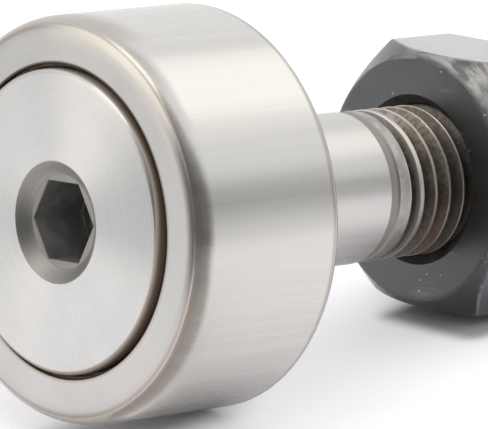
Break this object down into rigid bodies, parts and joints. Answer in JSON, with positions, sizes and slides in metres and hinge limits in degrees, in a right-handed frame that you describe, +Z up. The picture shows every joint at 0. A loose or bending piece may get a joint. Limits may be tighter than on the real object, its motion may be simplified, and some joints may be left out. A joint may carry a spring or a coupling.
{
  "type": "cam follower",
  "caption": "Stud-type cam follower: a steel ring turns on a caged needle bearing round a threaded stud that has a hexagon socket in its head and a hexagon nut on its thread.",
  "frame": {"origin": "on the stud's axis, in the plane of the side plate's outer face, the shoulder that stands against the machine", "axes": "+Y along the stud towards its threaded end, +Z up when the stud lies level"},
  "size_m": [0.026, 0.0391, 0.026],
  "materials": {
    "ground_steel": "fine ground",
    "bright_steel": "polished",
    "cage_steel": "pressed, satin",
    "seal_rubber": "matte",
    "washer_plastic": "matte",
    "nut_steel": "black oxide, satin"
  },
  "bodies": {
    "stud_assembly": {"stud": "ground_steel", "side_plate": "ground_steel"},
    "roller_ring": {"outer_ring": "ground_steel", "seal_front": "seal_rubber", "seal_rear": "seal_rubber", "thrust_washer_front": "washer_plastic", "thrust_washer_rear": "washer_plastic"},
    "needle_cage": {"cage": "cage_steel"},
    "roller_needle_01": {"needle_01": "bright_steel"},
    "roller_needle_02": {"needle_02": "bright_steel"},
    "roller_needle_03": {"needle_03": "bright_steel"},
    "roller_needle_04": {"needle_04": "bright_steel"},
    "roller_needle_05": {"needle_05": "bright_steel"},
    "roller_needle_06": {"needle_06": "bright_steel"},
    "roller_needle_07": {"needle_07": "bright_steel"},
    "roller_needle_08": {"needle_08": "bright_steel"},
    "roller_needle_09": {"needle_09": "bright_steel"},
    "roller_needle_10": {"needle_10": "bright_steel"},
    "roller_needle_11": {"needle_11": "bright_steel"},
    "roller_needle_12": {"needle_12": "bright_steel"},
    "lock_nut": {"nut": "nut_steel"}
  },
  "joints": [
    {"name": "ring_spin", "type": "hinge", "parent": "stud_assembly", "child": "roller_ring", "pos_m": [0, -0.0065, 0], "axis": [0, 1, 0], "continuous": true},
    {"name": "cage_orbit", "type": "hinge", "parent": "stud_assembly", "child": "needle_cage", "pos_m": [0, -0.0065, 0], "axis": [0, 1, 0], "continuous": true},
    {"name": "needle_01_roll", "type": "hinge", "parent": "needle_cage", "child": "roller_needle_01", "pos_m": [0.007, -0.0065, 0.00188], "axis": [0, 1, 0], "continuous": true},
    {"name": "needle_02_roll", "type": "hinge", "parent": "needle_cage", "child": "roller_needle_02", "pos_m": [0.00513, -0.0065, 0.00513], "axis": [0, 1, 0], "continuous": true},
    {"name": "needle_03_roll", "type": "hinge", "parent": "needle_cage", "child": "roller_needle_03", "pos_m": [0.00188, -0.0065, 0.007], "axis": [0, 1, 0], "continuous": true},
    {"name": "needle_04_roll", "type": "hinge", "parent": "needle_cage", "child": "roller_needle_04", "pos_m": [-0.00188, -0.0065, 0.007], "axis": [0, 1, 0], "continuous": true},
    {"name": "needle_05_roll", "type": "hinge", "parent": "needle_cage", "child": "roller_needle_05", "pos_m": [-0.00513, -0.0065, 0.00513], "axis": [0, 1, 0], "continuous": true},
    {"name": "needle_06_roll", "type": "hinge", "parent": "needle_cage", "child": "roller_needle_06", "pos_m": [-0.007, -0.0065, 0.00188], "axis": [0, 1, 0], "continuous": true},
    {"name": "needle_07_roll", "type": "hinge", "parent": "needle_cage", "child": "roller_needle_07", "pos_m": [-0.007, -0.0065, -0.00188], "axis": [0, 1, 0], "continuous": true},
    {"name": "needle_08_roll", "type": "hinge", "parent": "needle_cage", "child": "roller_needle_08", "pos_m": [-0.00513, -0.0065, -0.00513], "axis": [0, 1, 0], "continuous": true},
    {"name": "needle_09_roll", "type": "hinge", "parent": "needle_cage", "child": "roller_needle_09", "pos_m": [-0.00188, -0.0065, -0.007], "axis": [0, 1, 0], "continuous": true},
    {"name": "needle_10_roll", "type": "hinge", "parent": "needle_cage", "child": "roller_needle_10", "pos_m": [0.00188, -0.0065, -0.007], "axis": [0, 1, 0], "continuous": true},
    {"name": "needle_11_roll", "type": "hinge", "parent": "needle_cage", "child": "roller_needle_11", "pos_m": [0.00513, -0.0065, -0.00513], "axis": [0, 1, 0], "continuous": true},
    {"name": "needle_12_roll", "type": "hinge", "parent": "needle_cage", "child": "roller_needle_12", "pos_m": [0.007, -0.0065, -0.00188], "axis": [0, 1, 0], "continuous": true},
    {"name": "nut_travel", "type": "slide", "parent": "stud_assembly", "child": "lock_nut", "axis": [0, 1, 0], "range_m": [-0.005, 0.00375]}
  ],
  "couplings": [
    {"joint": "cage_orbit", "follows": "ring_spin", "ratio": 0.58621},
    {"joint": "needle_01_roll", "follows": "ring_spin", "ratio": 2.8138},
    {"joint": "needle_02_roll", "follows": "ring_spin", "ratio": 2.8138},
    {"joint": "needle_03_roll", "follows": "ring_spin", "ratio": 2.8138},
    {"joint": "needle_04_roll", "follows": "ring_spin", "ratio": 2.8138},
    {"joint": "needle_05_roll", "follows": "ring_spin", "ratio": 2.8138},
    {"joint": "needle_06_roll", "follows": "ring_spin", "ratio": 2.8138},
    {"joint": "needle_07_roll", "follows": "ring_spin", "ratio": 2.8138},
    {"joint": "needle_08_roll", "follows": "ring_spin", "ratio": 2.8138},
    {"joint": "needle_09_roll", "follows": "ring_spin", "ratio": 2.8138},
    {"joint": "needle_10_roll", "follows": "ring_spin", "ratio": 2.8138},
    {"joint": "needle_11_roll", "follows": "ring_spin", "ratio": 2.8138},
    {"joint": "needle_12_roll", "follows": "ring_spin", "ratio": 2.8138}
  ]
}
